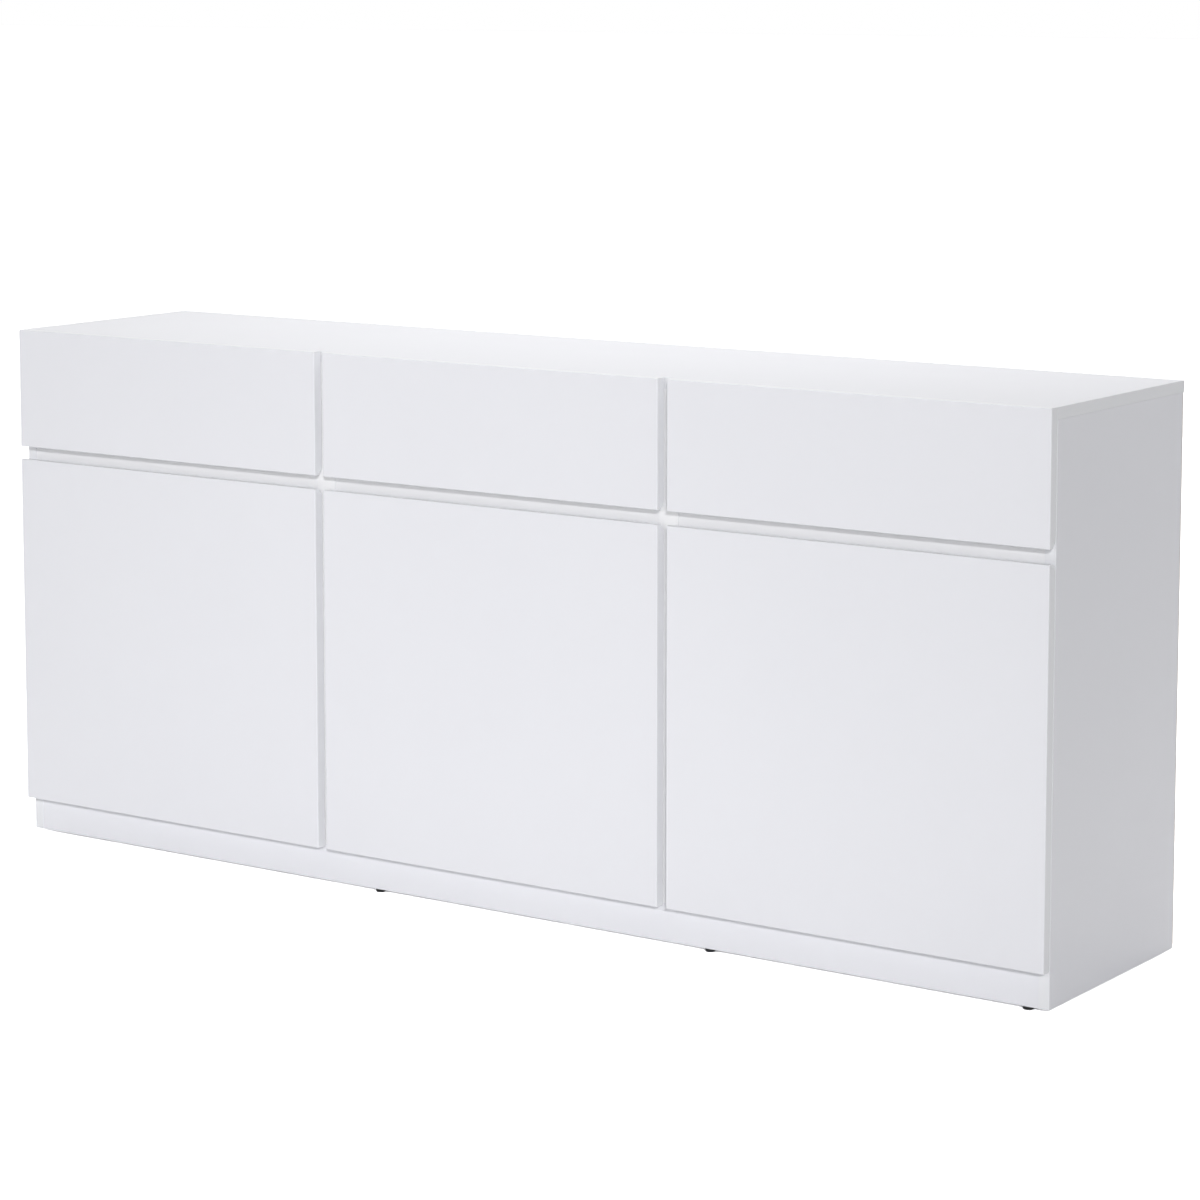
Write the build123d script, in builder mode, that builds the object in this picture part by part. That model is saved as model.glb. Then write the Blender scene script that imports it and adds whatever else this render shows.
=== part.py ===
"""White handle-less sideboard: three cabinets in a row, each with a drawer above a hinged door.

Millimetres, +Z up. The origin is on the floor under the middle of the sideboard's outline,
and the fronts face -Y.
"""

from build123d import *
import math
import os

# ---------------------------------------------------------------- driving dimensions

WIDTH = 1800.0
HEIGHT = 800.0
DEPTH = 390.0
BOARD = 16.0  # carcass boards and fronts
THIN_BOARD = 3.0  # hardboard backs and drawer bottoms
DRAWER_BOARD = 12.0
NAIL_ROOM = 1.0  # the backs stand this far inside the top panel's rear edge
EDGE_ROUNDING = 0.6  # on the outer edges of the top and the side panels

GLIDE_HEIGHT = 5.0
GLIDE_TOP_RADIUS = 8.5
GLIDE_FOOT_RADIUS = 7.0
FRONT_GLIDE_X = (-213.0, 368.0, 865.0)
REAR_GLIDE_X = (-300.0, 300.0, 865.0)
SIDE_GLIDE_Y = (-130.0, 150.0)  # under the left side panel

FRONT_WIDTH = 590.0
FRONT_GAP = 1.5  # between the closed fronts and the carcass
FRONT_ROUNDING = 1.5
GRIP_BEVEL = 8.0  # behind the edge that the fingers pull
PLINTH_HEIGHT = 55.0
PLINTH_SETBACK = 1.0
DOOR_BOTTOM = 57.0
DOOR_TOP = 597.0
DRAWER_FRONT_BOTTOM = 617.0
RAIL_HEIGHT = 50.0
PARTITION_CENTRE = 302.5  # where two cabinets meet
BACK_FROM_OUTSIDE = 1.0
BACK_JOINT = 0.25  # half the gap between two neighbouring backs

SHELF_DEPTH = 338.0
SHELF_SIDE_GAP = 1.0
SHELF_BACK_GAP = 4.0
PIN_HOLE_RADIUS = 2.5
PIN_HOLE_DEPTH = 9.0
PIN_HOLE_HEIGHTS = (290.0, 322.0, 354.0)
PIN_HOLE_Y = (-110.0, 140.0)
PIN_RADIUS = 2.45
PIN_PEG_LENGTH = 8.5
PIN_TAB = (9.0, 8.0, 6.0)

DRAWER_BOX_DEPTH = 350.0
DRAWER_BOX_BOTTOM = 642.0
DRAWER_BOX_TOP = 762.0
DRAWER_GROOVE_DEPTH = 5.0
DRAWER_GROOVE_Z = 650.0
GROOVE_CLEARANCE = 0.1

SLIDE_LENGTH = 350.0
SLIDE_THICKNESS = 12.7
SLIDE_GAUGE = 1.2
SLIDE_Z = 690.0
# Each slide member is a C section: its web and its tip off the upright's face, and half its height.
SLIDE_OUTER = (0.0, 9.5, 22.5)
SLIDE_MIDDLE = (2.4, 10.6, 18.5)
SLIDE_INNER = (12.7, 5.0, 13.5)

CAM_RADIUS = 7.5
CAM_DEPTH = 12.5
CAM_SETBACK = 24.0  # from the board's end to the cam's centre
CAM_CLEARANCE = 0.1
CAM_DRIVE_RADIUS = 2.5
CAM_DRIVE_DEPTH = 2.5
BOLT_THREAD_RADIUS = 2.5
BOLT_THREAD_LENGTH = 11.0
BOLT_BORE_RADIUS = 4.0
BOLT_SHANK_RADIUS = 3.0
DOWEL_HOLE_RADIUS = 4.0
DOWEL_RADIUS = 3.9
DOWEL_INTO_FACE = 10.0
DOWEL_INTO_END = 20.0
DOWEL_END_GAP = 0.5
FITTING_Y = (-120.0, 140.0)  # cam fittings along a board's depth
DOWEL_Y = 10.0
PLINTH_CAM_UP = 38.0  # above the plinth's lower edge
PLINTH_DOWEL_UP = 14.0
RAIL_CAM_DOWN = 16.0  # below the rail's upper edge
RAIL_DOWEL_UP = 12.0

CONNECTOR_RADIUS = 3.9
CONNECTOR_FLANGE_RADIUS = 7.0
CONNECTOR_FLANGE = 1.2
CONNECTOR_SLEEVE = 22.0
CONNECTOR_SCREW = 24.0
CONNECTOR_SCREW_RADIUS = 2.5
CONNECTOR_PLACES = ((-60.0, 240.0), (100.0, 240.0), (-60.0, 735.0), (100.0, 735.0))

# Concealed hinge, seen from above: x runs inward from the door's hinged edge and y from the
# carcass front plane into the cabinet. A cranked link turns on the arm pin and on the cup pin.
HINGE_FROM_DOOR_END = 100.0
ARM_PIN = (32.0, 4.0)
CUP_PIN = (8.84, -4.0)
LINK_BENDS = ((15.08, -10.05), (21.97, -1.74))
LINK_THICKNESS = 2.0
LINK_WIDTH = 9.0
ARM_PIN_RADIUS = 1.5
CUP_PIN_RADIUS = 1.1
ARM_EYE_RADIUS = 3.0
CUP_EYE_RADIUS = 1.9
PIN_PLAY = 0.05
CUP_CENTRE = 22.5
CUP_HOLE_RADIUS = 17.5
CUP_HOLE_DEPTH = 12.5
CUP_RADIUS = 17.4
CUP_UNDER = 0.2  # between the cup and the bottom of its hole
CUP_INSIDE_RADIUS = 16.5
CUP_FLOOR = 0.8
CUP_FLANGE = 1.0
CUP_FLANGE_RADIUS = 19.0
CUP_FLANGE_LENGTH = 62.0
CUP_FLANGE_EDGE = 5.0
CUP_CUT_HEIGHT = 20.0  # half the height of the cut for the flange's straight edge
CUP_WING = 8.5
CUP_SCREW_SPACING = 48.0
CUP_SCREW_RADIUS = 1.7
CUP_SCREW_LENGTH = 12.0
CUP_LUG = (5.0, 7.0)
CUP_LUG_FROM = 7.5
CUP_LUG_PAST_PIN = (2.6, 2.2)
ARM_CHEEK = (5.3, 6.5)
ARM_CHEEK_FROM = 24.0
ARM_NOSE_RADIUS = 3.6
ARM_TOP = 35.6
ARM_REAR = 58.0
ARM_SHEET = 1.2
ARM_WEB_FROM = 5.0  # behind the arm pin
ARM_SCREW_Y = (29.0, 49.0)
ARM_SCREW_RADIUS = 2.0
ARM_SCREW_LENGTH = 12.0
ARM_SCREW_HEAD_RADIUS = 3.6
PLATE_THICKNESS = 2.0
PLATE_FROM = 20.0
PLATE_HALF_WIDTH = 9.0
PLATE_WING = (6.0, 7.0)  # around the screws, along y and along z
RIDER_FROM = 22.0
RIDER_HALF_WIDTH = 5.0
RIDER_END_GAP = 2.0
PLATE_SCREW_Y = 37.0
PLATE_SCREW_SPACING = 32.0
PLATE_SCREW_RADIUS = 2.0
PLATE_SCREW_LENGTH = 12.0
SCREW_HEAD = 1.0
HEAD_GAP = 0.02  # under a screw's head

# ---------------------------------------------------------------- derived positions

FRONT_Y = -DEPTH / 2
FRONT_BACK_Y = FRONT_Y + BOARD
CARCASS_Y = FRONT_BACK_Y + FRONT_GAP
BACK_Y = DEPTH / 2
CARCASS_BACK_Y = BACK_Y - NAIL_ROOM - THIN_BOARD
TOP_UNDERSIDE = HEIGHT - BOARD
PLINTH_TOP = GLIDE_HEIGHT + PLINTH_HEIGHT
BASE_TOP = PLINTH_TOP + BOARD
PLINTH_Y = CARCASS_Y + PLINTH_SETBACK
REAR_PLINTH_Y = CARCASS_BACK_Y - BOARD
RAIL_BOTTOM = (DOOR_TOP + DRAWER_FRONT_BOTTOM - RAIL_HEIGHT) / 2
SIDE_INNER_X = WIDTH / 2 - BOARD
HALF = BOARD / 2
SHELF_PIN_Z = PIN_HOLE_HEIGHTS[1]
SHELF_UNDERSIDE = SHELF_PIN_Z + PIN_TAB[2] / 2
SHELF_BACK_Y = CARCASS_BACK_Y - SHELF_BACK_GAP
HINGE_HEIGHTS = (DOOR_BOTTOM + HINGE_FROM_DOOR_END, DOOR_TOP - HINGE_FROM_DOOR_END)
DOOR_BACK = -FRONT_GAP  # in the hinge's own y
CUP_FLOOR_Y = DOOR_BACK - CUP_HOLE_DEPTH + CUP_UNDER
FROM_MOUTH = (Align.CENTER, Align.CENTER, Align.MIN)
CORNER = (Align.MIN, Align.MIN, Align.MIN)
UP, DOWN = (0, 0, 1), (0, 0, -1)
REARWARD, FORWARD = (0, 1, 0), (0, -1, 0)

# Each cabinet: the inner faces of its two uprights, and the side edges of its fronts.
CABINETS = {
    "left": {
        "inside": (-SIDE_INNER_X, -PARTITION_CENTRE - BOARD),
        "front": (-WIDTH / 2, -WIDTH / 2 + FRONT_WIDTH),
        "back": (-WIDTH / 2 + BACK_FROM_OUTSIDE, -PARTITION_CENTRE - BACK_JOINT),
        "hinged": -1,
    },
    "middle": {
        "inside": (-PARTITION_CENTRE + BOARD, PARTITION_CENTRE - BOARD),
        "front": (-FRONT_WIDTH / 2, FRONT_WIDTH / 2),
        "back": (-PARTITION_CENTRE + BACK_JOINT, PARTITION_CENTRE - BACK_JOINT),
        "hinged": -1,
    },
    "right": {
        "inside": (PARTITION_CENTRE + BOARD, SIDE_INNER_X),
        "front": (WIDTH / 2 - FRONT_WIDTH, WIDTH / 2),
        "back": (PARTITION_CENTRE + BACK_JOINT, WIDTH / 2 - BACK_FROM_OUTSIDE),
        "hinged": 1,
    },
}

# Each upright: its lower x face, its bottom, and which way its inner face looks.
UPRIGHTS = {
    "left_side_panel": (-WIDTH / 2, GLIDE_HEIGHT, 1),
    "left_cabinet_inner_side": (-PARTITION_CENTRE - BOARD, PLINTH_TOP, -1),
    "middle_cabinet_left_side": (-PARTITION_CENTRE, PLINTH_TOP, 1),
    "middle_cabinet_right_side": (PARTITION_CENTRE - BOARD, PLINTH_TOP, -1),
    "right_cabinet_inner_side": (PARTITION_CENTRE, PLINTH_TOP, 1),
    "right_side_panel": (SIDE_INNER_X, GLIDE_HEIGHT, -1),
}
PARTITION_UPRIGHTS = [name for name in UPRIGHTS if "cabinet" in name]

GLIDES = (
    [(x, PLINTH_Y + HALF) for x in FRONT_GLIDE_X]
    + [(x, REAR_PLINTH_Y + HALF) for x in REAR_GLIDE_X]
    + [(GLIDE_TOP_RADIUS - WIDTH / 2, y) for y in SIDE_GLIDE_Y]
)


def finish(builder, name):
    """Label a piece and write it to its own STEP file."""
    builder.part.label = name
    export_step(builder.part, f"parts/{name}.step")


# ---------------------------------------------------------------- shapes used inside a part block


def slab(low, high, mode=Mode.ADD):
    """A board between two opposite corners."""
    with Locations(low):
        Box(high[0] - low[0], high[1] - low[1], high[2] - low[2], align=CORNER, mode=mode)


def rounded_slab(low, high, outer_face, radius):
    """A board with the edges of one face rounded: the first or last face along an axis."""
    slab(low, high)
    axis, end = outer_face
    fillet(faces().sort_by(axis)[end].edges(), radius=radius)


def rod(points, direction, radius, length, mode=Mode.ADD):
    """Cylinders that start at the points and run along the direction."""
    with Locations(*[Plane(point, z_dir=direction) for point in points]):
        Cylinder(radius, length, align=FROM_MOUTH, mode=mode)


def drill(points, direction, radius, depth):
    """Holes whose mouths are at the points."""
    rod(points, direction, radius, depth, Mode.SUBTRACT)


def along(point, direction, distance):
    """The point moved by a distance along a direction."""
    return tuple(p + distance * d for p, d in zip(point, direction))


def reverse(direction):
    """The opposite direction."""
    return tuple(-d for d in direction)


# ---------------------------------------------------------------- joints between boards
# A cam joint holds the end of one board to the face of another. "seat" is the point on that
# face, "into_end" points from it into the board that holds the cam, and "into_cam" points from
# the cam's mouth into its board.


def inner_face(name):
    """The x of an upright's inner face and the direction in which it looks."""
    low_x, _, looks = UPRIGHTS[name]
    return (low_x + BOARD if looks > 0 else low_x), looks


def faces_of(cabinet):
    """The two uprights of a cabinet, each with its inner face."""
    insides = CABINETS[cabinet]["inside"]
    return [(name, inner_face(name)) for name in UPRIGHTS if inner_face(name)[0] in insides]


BASE_CAMS = {}
RAIL_CAMS = {}
for bay in CABINETS:
    BASE_CAMS[bay] = []
    RAIL_CAMS[bay] = []
    for upright, (face_x, looks) in faces_of(bay):
        for y in FITTING_Y:
            seat = (face_x, y, PLINTH_TOP + HALF)
            BASE_CAMS[bay].append((upright, seat, (looks, 0, 0), UP))
        seat = (face_x, PLINTH_Y + HALF, RAIL_BOTTOM + RAIL_HEIGHT - RAIL_CAM_DOWN)
        RAIL_CAMS[bay].append((upright, seat, (looks, 0, 0), FORWARD))

TOP_CAMS = {
    name: [
        ("top_panel", (low_x + HALF, y, TOP_UNDERSIDE), DOWN, (-looks, 0, 0))
        for y in FITTING_Y
    ]
    for name, (low_x, _, looks) in UPRIGHTS.items()
}
PLINTH_CAMS = {"front_plinth": [], "rear_plinth": []}
for upright, side in (("left_side_panel", 1), ("right_side_panel", -1)):
    for plinth, y, into_cam in (
        ("front_plinth", PLINTH_Y + HALF, FORWARD),
        ("rear_plinth", REAR_PLINTH_Y + HALF, REARWARD),
    ):
        seat = (-side * SIDE_INNER_X, y, GLIDE_HEIGHT + PLINTH_CAM_UP)
        PLINTH_CAMS[plinth].append((upright, seat, (side, 0, 0), into_cam))

ALL_CAMS = [
    cam
    for group in (BASE_CAMS, RAIL_CAMS, TOP_CAMS, PLINTH_CAMS)
    for cams in group.values()
    for cam in cams
]

# A dowel: the point on the face, and the direction into the board whose end it pins.
BASE_DOWELS = {
    bay: [
        (name, (face_x, DOWEL_Y, PLINTH_TOP + HALF), (looks, 0, 0))
        for name, (face_x, looks) in faces_of(bay)
    ]
    for bay in CABINETS
}
RAIL_DOWELS = {
    bay: [
        (name, (face_x, PLINTH_Y + HALF, RAIL_BOTTOM + RAIL_DOWEL_UP), (looks, 0, 0))
        for name, (face_x, looks) in faces_of(bay)
    ]
    for bay in CABINETS
}
TOP_DOWELS = {
    name: [("top_panel", (low_x + HALF, DOWEL_Y, TOP_UNDERSIDE), DOWN)]
    for name, (low_x, _, _) in UPRIGHTS.items()
}
PLINTH_DOWELS = {
    plinth: [
        (name, (-side * SIDE_INNER_X, y + HALF, GLIDE_HEIGHT + PLINTH_DOWEL_UP), (side, 0, 0))
        for name, side in (("left_side_panel", 1), ("right_side_panel", -1))
    ]
    for plinth, y in (("front_plinth", PLINTH_Y), ("rear_plinth", REAR_PLINTH_Y))
}
FOOT_DOWELS = {
    name: [
        (plinth, (UPRIGHTS[name][0] + HALF, y + HALF, PLINTH_TOP), UP)
        for plinth, y in (("front_plinth", PLINTH_Y), ("rear_plinth", REAR_PLINTH_Y))
    ]
    for name in PARTITION_UPRIGHTS
}
ALL_DOWELS = [
    dowel
    for group in (BASE_DOWELS, RAIL_DOWELS, TOP_DOWELS, PLINTH_DOWELS, FOOT_DOWELS)
    for dowels in group.values()
    for dowel in dowels
]


def bore_for_cams(cams):
    """In the board that holds the cams: the cam pockets and the bores for their bolts."""
    for _, seat, into_end, into_cam in cams:
        centre = along(seat, into_end, CAM_SETBACK)
        drill([along(centre, into_cam, -HALF)], into_cam, CAM_RADIUS, CAM_DEPTH)
        drill([seat], into_end, BOLT_BORE_RADIUS, CAM_SETBACK)


def bore_for_dowels(dowels):
    """In the board whose end is pinned: the dowel holes."""
    for _, seat, into_end in dowels:
        drill([seat], into_end, DOWEL_HOLE_RADIUS, DOWEL_INTO_END)


def bore_face_of(name):
    """In the board whose face is met: threaded holes for cam bolts, and dowel holes."""
    for board, seat, into_end, _ in ALL_CAMS:
        if board == name:
            drill([seat], reverse(into_end), BOLT_THREAD_RADIUS, BOLT_THREAD_LENGTH)
    for board, seat, into_end in ALL_DOWELS:
        if board == name:
            drill([seat], reverse(into_end), DOWEL_HOLE_RADIUS, DOWEL_INTO_FACE)


# ---------------------------------------------------------------- where the hinges sit


def hinge_frame(bay):
    """Where a door hangs: its hinged edge, the way inward, and how thick its mounting plate is."""
    place = CABINETS[bay]
    hinged = place["hinged"]
    if hinged < 0:
        edge, board_face = place["front"][0], place["inside"][0]
    else:
        edge, board_face = place["front"][1], place["inside"][1]
    return edge, -hinged, abs(board_face - edge)


def hinge_point(bay, x, y, z):
    """A point given from the door's hinged edge and the carcass front plane."""
    edge, inward, _ = hinge_frame(bay)
    return (edge + inward * x, CARCASS_Y + y, z)


def hinge_slab(bay, low, high, mode=Mode.ADD):
    """A block between two corners given as for hinge_point."""
    a = hinge_point(bay, *low)
    b = hinge_point(bay, *high)
    slab(tuple(map(min, a, b)), tuple(map(max, a, b)), mode)


def plate_screw_points(bay):
    """Where the screws of a door's mounting plates enter the upright's inner face."""
    _, _, board_step = hinge_frame(bay)
    half_spacing = PLATE_SCREW_SPACING / 2
    return [
        hinge_point(bay, board_step, PLATE_SCREW_Y, z + offset)
        for z in HINGE_HEIGHTS
        for offset in (-half_spacing, half_spacing)
    ]


# ---------------------------------------------------------------- carcass

os.makedirs("parts", exist_ok=True)

with BuildPart() as top_panel:
    rounded_slab(
        (-WIDTH / 2, CARCASS_Y, TOP_UNDERSIDE),
        (WIDTH / 2, BACK_Y, HEIGHT),
        (Axis.Z, -1),
        EDGE_ROUNDING,
    )
    bore_face_of("top_panel")
finish(top_panel, "top_panel")


def connector_points(name):
    """Mouths of the connector holes on an upright's inner face."""
    face_x, _ = inner_face(name)
    return [(face_x, y, z) for y, z in CONNECTOR_PLACES]


for name, (low_x, bottom, looks) in UPRIGHTS.items():
    face_x, _ = inner_face(name)
    into_board = (-looks, 0, 0)
    low = (low_x, CARCASS_Y, bottom)
    high = (low_x + BOARD, CARCASS_BACK_Y, TOP_UNDERSIDE)
    with BuildPart() as upright:
        if name in PARTITION_UPRIGHTS:
            slab(low, high)
        else:
            outer_face = (Axis.X, 0 if looks > 0 else -1)
            rounded_slab(low, high, outer_face, EDGE_ROUNDING)
        pin_mouths = [(face_x, y, z) for y in PIN_HOLE_Y for z in PIN_HOLE_HEIGHTS]
        drill(pin_mouths, into_board, PIN_HOLE_RADIUS, PIN_HOLE_DEPTH)
        bore_face_of(name)
        bore_for_cams(TOP_CAMS[name])
        bore_for_dowels(TOP_DOWELS[name])
        if name in PARTITION_UPRIGHTS:
            bore_for_dowels(FOOT_DOWELS[name])
            drill(connector_points(name), into_board, BOLT_BORE_RADIUS, BOARD)
        for bay in CABINETS:
            points = plate_screw_points(bay)
            if points[0][0] == face_x:
                drill(points, into_board, PLATE_SCREW_RADIUS + PIN_PLAY, PLATE_SCREW_LENGTH)
    finish(upright, name)

for name, low_y in (("front_plinth", PLINTH_Y), ("rear_plinth", REAR_PLINTH_Y)):
    with BuildPart() as plinth:
        slab(
            (-SIDE_INNER_X, low_y, GLIDE_HEIGHT),
            (SIDE_INNER_X, low_y + BOARD, PLINTH_TOP),
        )
        bore_for_cams(PLINTH_CAMS[name])
        bore_for_dowels(PLINTH_DOWELS[name])
        bore_face_of(name)
    finish(plinth, name)

for bay, place in CABINETS.items():
    left_x, right_x = place["inside"]

    with BuildPart() as base_panel:
        slab((left_x, CARCASS_Y, PLINTH_TOP), (right_x, CARCASS_BACK_Y, BASE_TOP))
        bore_for_cams(BASE_CAMS[bay])
        bore_for_dowels(BASE_DOWELS[bay])
    finish(base_panel, f"{bay}_base_panel")

    with BuildPart() as rail:
        slab(
            (left_x, PLINTH_Y, RAIL_BOTTOM),
            (right_x, PLINTH_Y + BOARD, RAIL_BOTTOM + RAIL_HEIGHT),
        )
        bore_for_cams(RAIL_CAMS[bay])
        bore_for_dowels(RAIL_DOWELS[bay])
    finish(rail, f"{bay}_rail")

    with BuildPart() as back_panel:
        back_left, back_right = place["back"]
        slab(
            (back_left, CARCASS_BACK_Y, 2 * GLIDE_HEIGHT),
            (back_right, CARCASS_BACK_Y + THIN_BOARD, TOP_UNDERSIDE),
        )
    finish(back_panel, f"{bay}_back_panel")

    with BuildPart() as shelf:
        shelf_top = SHELF_UNDERSIDE + BOARD
        slab(
            (left_x + SHELF_SIDE_GAP, SHELF_BACK_Y - SHELF_DEPTH, SHELF_UNDERSIDE),
            (right_x - SHELF_SIDE_GAP, SHELF_BACK_Y, shelf_top),
        )
    finish(shelf, f"{bay}_shelf")

# ---------------------------------------------------------------- carcass hardware

with BuildPart() as shelf_pins:
    for name in UPRIGHTS:
        face_x, looks = inner_face(name)
        for y in PIN_HOLE_Y:
            peg_end = (face_x - looks * PIN_PEG_LENGTH, y, SHELF_PIN_Z)
            rod([peg_end], (looks, 0, 0), PIN_RADIUS, PIN_PEG_LENGTH)
            tab_x = face_x if looks > 0 else face_x - PIN_TAB[0]
            tab_low = (tab_x, y - PIN_TAB[1] / 2, SHELF_UNDERSIDE - PIN_TAB[2])
            slab(tab_low, tuple(low + size for low, size in zip(tab_low, PIN_TAB)))
finish(shelf_pins, "shelf_pins")

with BuildPart() as glide_feet:
    with Locations(*[(x, y, 0) for x, y in GLIDES]):
        Cone(GLIDE_FOOT_RADIUS, GLIDE_TOP_RADIUS, GLIDE_HEIGHT, align=FROM_MOUTH)
finish(glide_feet, "glide_feet")

with BuildPart() as cam_locks:
    for _, seat, into_end, into_cam in ALL_CAMS:
        centre = along(seat, into_end, CAM_SETBACK)
        mouth = along(centre, into_cam, -HALF)
        rod([mouth], into_cam, CAM_RADIUS - CAM_CLEARANCE, CAM_DEPTH - CAM_CLEARANCE)
    for _, seat, into_end, into_cam in ALL_CAMS:
        drill([seat], into_end, BOLT_BORE_RADIUS, CAM_SETBACK + BOLT_SHANK_RADIUS)
        centre = along(seat, into_end, CAM_SETBACK)
        drill([along(centre, into_cam, -HALF)], into_cam, CAM_DRIVE_RADIUS, CAM_DRIVE_DEPTH)
finish(cam_locks, "cam_locks")

with BuildPart() as cam_bolts:
    for _, seat, into_end, _ in ALL_CAMS:
        tip = along(seat, into_end, -BOLT_THREAD_LENGTH + CAM_CLEARANCE)
        rod([tip], into_end, BOLT_THREAD_RADIUS - CAM_CLEARANCE, BOLT_THREAD_LENGTH)
        rod([seat], into_end, BOLT_SHANK_RADIUS, CAM_SETBACK)
finish(cam_bolts, "cam_bolts")

with BuildPart() as wood_dowels:
    for _, seat, into_end in ALL_DOWELS:
        start = along(seat, into_end, -DOWEL_INTO_FACE + DOWEL_END_GAP)
        length = DOWEL_INTO_FACE + DOWEL_INTO_END - 2 * DOWEL_END_GAP
        rod([start], into_end, DOWEL_RADIUS, length)
finish(wood_dowels, "wood_dowels")

# Two-piece connectors clamp the uprights of neighbouring cabinets: a sleeve nut enters from the
# outer cabinets and its screw from the middle one.
with BuildPart() as connector_bolts:
    for side in (-1, 1):
        outer_x = side * (PARTITION_CENTRE + BOARD)
        middle_x = side * (PARTITION_CENTRE - BOARD)
        inward = (-side, 0, 0)
        for y, z in CONNECTOR_PLACES:
            nut_seat = (outer_x, y, z)
            screw_seat = (middle_x, y, z)
            nut_face = along(nut_seat, inward, -CONNECTOR_FLANGE)
            rod([nut_face], inward, CONNECTOR_FLANGE_RADIUS, CONNECTOR_FLANGE)
            rod([nut_seat], inward, CONNECTOR_RADIUS, CONNECTOR_SLEEVE)
            drill([nut_seat], inward, CONNECTOR_SCREW_RADIUS + PIN_PLAY, CONNECTOR_SLEEVE)
            rod([screw_seat], inward, CONNECTOR_FLANGE_RADIUS, CONNECTOR_FLANGE)
            rod([screw_seat], reverse(inward), CONNECTOR_SCREW_RADIUS, CONNECTOR_SCREW)
finish(connector_bolts, "connector_bolts")

# ---------------------------------------------------------------- drawer slides


def channel(face_x, side, near, far, half_height):
    """C section on a board's face, from "near" to "far" off the face in the direction "side"."""
    web = face_x + side * near
    inside = web + math.copysign(SLIDE_GAUGE, far - near) * side
    tip = face_x + side * far
    lip = half_height - SLIDE_GAUGE
    outline = [
        (web, -half_height),
        (tip, -half_height),
        (tip, -lip),
        (inside, -lip),
        (inside, lip),
        (tip, lip),
        (tip, half_height),
        (web, half_height),
    ]
    with BuildSketch(Plane.XZ.offset(SLIDE_LENGTH / 2)) as section:
        with BuildLine():
            Polyline(*[(x, SLIDE_Z + z) for x, z in outline], close=True)
        make_face()
    return section.sketch


def slide_pair(bay, near, far, half_height):
    """Sections of one slide member on both sides of a cabinet."""
    left_x, right_x = CABINETS[bay]["inside"]
    return [
        channel(left_x, 1, near, far, half_height),
        channel(right_x, -1, near, far, half_height),
    ]


with BuildPart() as slide_outer_members:
    for bay in CABINETS:
        for section in slide_pair(bay, *SLIDE_OUTER):
            extrude(section, amount=-SLIDE_LENGTH)
finish(slide_outer_members, "slide_outer_members")

# ---------------------------------------------------------------- drawers

for bay, place in CABINETS.items():
    front_left, front_right = place["front"]
    left_x, right_x = place["inside"]
    box_left = left_x + SLIDE_THICKNESS
    box_right = right_x - SLIDE_THICKNESS
    box_back_y = FRONT_BACK_Y + DRAWER_BOX_DEPTH
    groove_top = DRAWER_GROOVE_Z + THIN_BOARD + 2 * GROOVE_CLEARANCE
    groove_left = box_left + DRAWER_BOARD - DRAWER_GROOVE_DEPTH
    groove_right = box_right - DRAWER_BOARD + DRAWER_GROOVE_DEPTH

    with BuildPart() as drawer_front:
        rounded_slab(
            (front_left, FRONT_Y, DRAWER_FRONT_BOTTOM),
            (front_right, FRONT_BACK_Y, HEIGHT),
            (Axis.Y, 0),
            FRONT_ROUNDING,
        )
        grip_edge = faces().sort_by(Axis.Y)[-1].edges().sort_by(Axis.Z)[0]
        chamfer(grip_edge, length=GRIP_BEVEL)
        slab(
            (groove_left, FRONT_BACK_Y - DRAWER_GROOVE_DEPTH, DRAWER_GROOVE_Z),
            (groove_right, FRONT_BACK_Y, groove_top),
            Mode.SUBTRACT,
        )
    finish(drawer_front, f"{bay}_drawer_front")

    for name, side_x in (("left", box_left), ("right", box_right - DRAWER_BOARD)):
        with BuildPart() as drawer_side:
            slab(
                (side_x, FRONT_BACK_Y, DRAWER_BOX_BOTTOM),
                (side_x + DRAWER_BOARD, box_back_y, DRAWER_BOX_TOP),
            )
            slab(
                (groove_left, FRONT_BACK_Y, DRAWER_GROOVE_Z),
                (groove_right, box_back_y, groove_top),
                Mode.SUBTRACT,
            )
        finish(drawer_side, f"{bay}_drawer_{name}_side")

    with BuildPart() as drawer_back:
        slab(
            (box_left + DRAWER_BOARD, box_back_y - DRAWER_BOARD, groove_top),
            (box_right - DRAWER_BOARD, box_back_y, DRAWER_BOX_TOP),
        )
    finish(drawer_back, f"{bay}_drawer_back")

    with BuildPart() as drawer_bottom:
        bottom_z = DRAWER_GROOVE_Z + GROOVE_CLEARANCE
        slab(
            (
                groove_left + GROOVE_CLEARANCE,
                FRONT_BACK_Y - DRAWER_GROOVE_DEPTH + GROOVE_CLEARANCE,
                bottom_z,
            ),
            (groove_right - GROOVE_CLEARANCE, box_back_y, bottom_z + THIN_BOARD),
        )
    finish(drawer_bottom, f"{bay}_drawer_bottom")

    with BuildPart() as slide_middle_members:
        for section in slide_pair(bay, *SLIDE_MIDDLE):
            extrude(section, amount=-SLIDE_LENGTH)
    finish(slide_middle_members, f"{bay}_slide_middle_members")

    with BuildPart() as slide_inner_members:
        for section in slide_pair(bay, *SLIDE_INNER):
            extrude(section, amount=-SLIDE_LENGTH)
    finish(slide_inner_members, f"{bay}_slide_inner_members")

# ---------------------------------------------------------------- doors and their hinges


def door_bores(bay, z):
    """Cup hole and screw holes in a door."""
    drill([hinge_point(bay, CUP_CENTRE, DOOR_BACK, z)], FORWARD, CUP_HOLE_RADIUS, CUP_HOLE_DEPTH)
    for offset in (-CUP_SCREW_SPACING / 2, CUP_SCREW_SPACING / 2):
        mouth = hinge_point(bay, CUP_CENTRE, DOOR_BACK, z + offset)
        drill([mouth], FORWARD, CUP_SCREW_RADIUS + PIN_PLAY, CUP_SCREW_LENGTH)


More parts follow.
